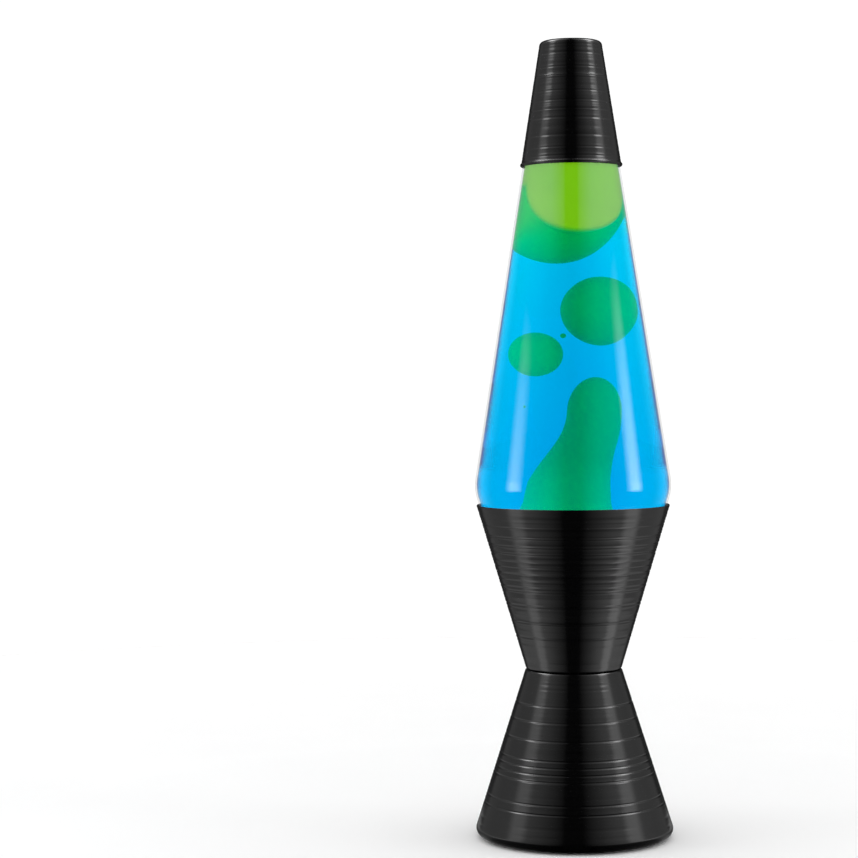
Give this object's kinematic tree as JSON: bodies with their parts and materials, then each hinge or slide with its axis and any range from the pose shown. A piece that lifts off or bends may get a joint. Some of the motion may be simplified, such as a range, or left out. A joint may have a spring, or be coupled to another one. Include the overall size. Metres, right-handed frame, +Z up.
{
  "type": "lava lamp",
  "caption": "Lava lamp: hourglass base of grooved black cones, tapered glass globe of blue liquid and green wax, grooved cap.",
  "frame": {"origin": "centre of the footprint, on the surface the lamp stands on", "axes": "+Z up along the lamp's axis; -Y is the front, as seen by the viewer; +Y is the back, where the cord's bushing is"},
  "size_m": [0.0914, 0.0914, 0.3683],
  "materials": {
    "black_paint": "satin",
    "steel": "satin",
    "zinc_steel": "satin",
    "brass": "satin",
    "phenolic": "satin",
    "black_plastic": "satin",
    "pad_rubber": "matte",
    "nickel": "polished",
    "lead_solder": "satin",
    "black_glass": "gloss",
    "bulb_glass": "gloss",
    "tungsten": "satin",
    "globe_glass": "gloss",
    "crown_steel": "satin",
    "liner": "matte",
    "liquid": "gloss",
    "wax": "satin",
    "coil_steel": "satin"
  },
  "bodies": {
    "base": {"lower_cone": "black_paint", "upper_cone": "black_paint", "waist_screws": "zinc_steel", "waist_nuts": "zinc_steel", "waist_rivets": "zinc_steel", "socket_bracket": "steel", "bracket_nipple": "brass", "nipple_locknut": "brass", "socket_cap": "phenolic", "socket_body": "phenolic", "socket_screw_shell": "brass", "socket_centre_contact": "brass", "socket_terminal_screws": "brass", "cord_bushing": "black_plastic", "bottom_cover": "black_plastic", "cover_screws": "zinc_steel", "foot_pads": "pad_rubber"},
    "bulb_tip": {"bulb_tip_contact": "lead_solder"},
    "bulb": {"bulb_insulator": "black_glass", "bulb_screw_shell": "nickel", "bulb_glass": "bulb_glass", "bulb_stem": "bulb_glass", "bulb_lead_wires": "nickel", "bulb_filament": "tungsten"},
    "globe": {"globe_glass": "globe_glass", "crown_closure": "crown_steel", "crown_liner": "liner", "liquid": "liquid", "heating_coil": "coil_steel", "wax_mound": "wax", "wax_dome": "wax", "wax_droplets": "wax"},
    "large_blob": {"wax_large_blob": "wax"},
    "small_blob": {"wax_small_blob": "wax"},
    "cap": {"cap_shell": "black_paint"}
  },
  "joints": [
    {"name": "bulb_lift", "type": "slide", "parent": "base", "child": "bulb_tip", "axis": [0, 0, 1], "range_m": [0, 0.012]},
    {"name": "bulb_turn", "type": "hinge", "parent": "bulb_tip", "child": "bulb", "pos_m": [0, 0, 0.07], "axis": [0, 0, 1], "range_deg": [0, 1530]},
    {"name": "globe_lift", "type": "slide", "parent": "base", "child": "globe", "axis": [0, 0, 1], "range_m": [0, 0.06]},
    {"name": "cap_lift", "type": "slide", "parent": "globe", "child": "cap", "axis": [0, 0, 1], "range_m": [0, 0.06]},
    {"name": "large_blob_drift", "type": "slide", "parent": "globe", "child": "large_blob", "axis": [0, 0, 1], "range_m": [-0.006, 0.004], "deforming": ["liquid"]},
    {"name": "small_blob_drift", "type": "slide", "parent": "globe", "child": "small_blob", "axis": [0, 0, 1], "range_m": [-0.01, 0.001], "deforming": ["liquid"]}
  ],
  "couplings": [
    {"joint": "bulb_lift", "follows": "bulb_turn", "m_per_rad": 0.00044913}
  ]
}
